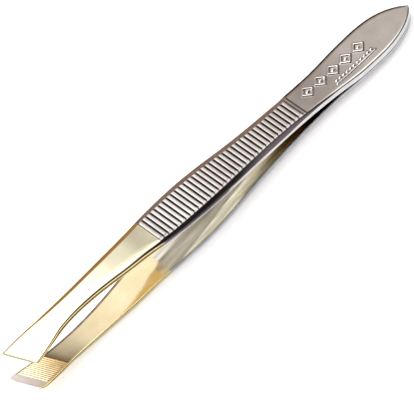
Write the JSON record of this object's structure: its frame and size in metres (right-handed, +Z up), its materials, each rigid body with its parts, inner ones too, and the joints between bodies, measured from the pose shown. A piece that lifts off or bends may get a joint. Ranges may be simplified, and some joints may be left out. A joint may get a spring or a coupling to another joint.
{
  "type": "slant tweezers",
  "caption": "Slant-tip tweezers: two spring arms joined in a pointed leaf at the tail, with ribbed finger grips, gold-plated jaws and toothed slanted tips.",
  "frame": {"origin": "middle of the footprint, on the table that the tweezers lie on", "axes": "+X from the pointed tail to the slanted tips, +Y across the arms towards the short corner of the slant, +Z up"},
  "size_m": [0.095, 0.0082, 0.0117],
  "materials": {
    "satin_nickel": "satin nickel plate with a fine grain",
    "polished_nickel": "bright nickel plate",
    "gold_plate": "bright gold plate",
    "bare_steel": "bare ground steel"
  },
  "bodies": {
    "tail": {"upper_leaf": "satin_nickel", "lower_leaf": "satin_nickel", "rear_spot_weld": "bare_steel", "front_spot_weld": "bare_steel"},
    "upper_arm": {"upper_shank": "polished_nickel", "upper_jaw": "gold_plate"},
    "lower_arm": {"lower_shank": "polished_nickel", "lower_jaw": "gold_plate"}
  },
  "joints": [
    {"name": "upper_arm_flex", "type": "hinge", "parent": "tail", "child": "upper_arm", "pos_m": [-0.02015, 0, 0.00441], "axis": [0, 1, 0], "range_deg": [0, 2.8], "stiffness_Nm_per_rad": 1.5},
    {"name": "lower_arm_flex", "type": "hinge", "parent": "tail", "child": "lower_arm", "pos_m": [-0.01998, 0, 0.00142], "axis": [0, -1, 0], "range_deg": [0, 2.8], "stiffness_Nm_per_rad": 1.5}
  ]
}
